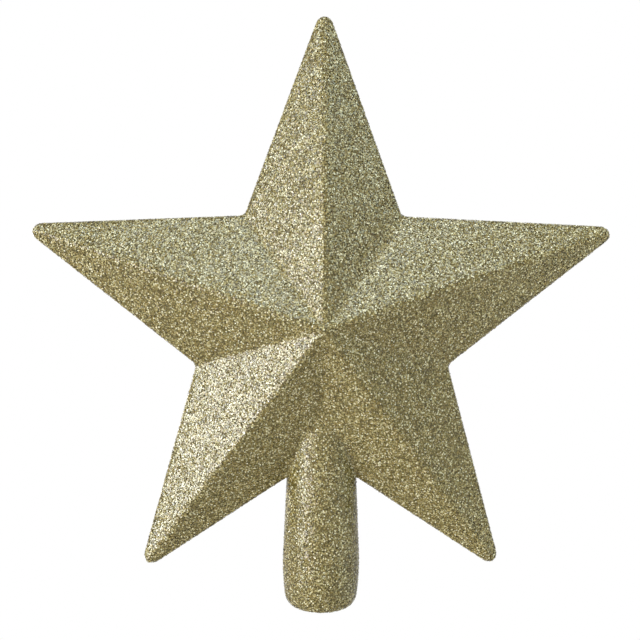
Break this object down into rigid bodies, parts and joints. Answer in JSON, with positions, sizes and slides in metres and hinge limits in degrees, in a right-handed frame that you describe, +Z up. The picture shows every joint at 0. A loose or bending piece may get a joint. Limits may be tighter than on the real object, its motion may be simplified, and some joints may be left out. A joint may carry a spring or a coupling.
{
  "type": "christmas tree topper star",
  "caption": "Faceted glitter-coated star with a hollow socket tube below it that slips over the top shoot of a decorated tree.",
  "frame": {"origin": "centre of the socket's mouth, on the socket's axis", "axes": "+Z up along the socket into the star, -Y out of the front face, +X to the right seen from the front; the halves meet on y = 0"},
  "size_m": [0.1882, 0.0478, 0.1947],
  "materials": {
    "shell_plastic": "satin moulded polystyrene, tinted pale gold",
    "clear_cement": "hardened clear solvent cement",
    "gold_glitter": "fine champagne gold film flakes in clear lacquer"
  },
  "bodies": {
    "root": {"front_shell": "shell_plastic", "rear_shell": "shell_plastic", "seam_cement": "clear_cement", "front_glitter_coat": "gold_glitter", "rear_glitter_coat": "gold_glitter"}
  },
  "joints": []
}
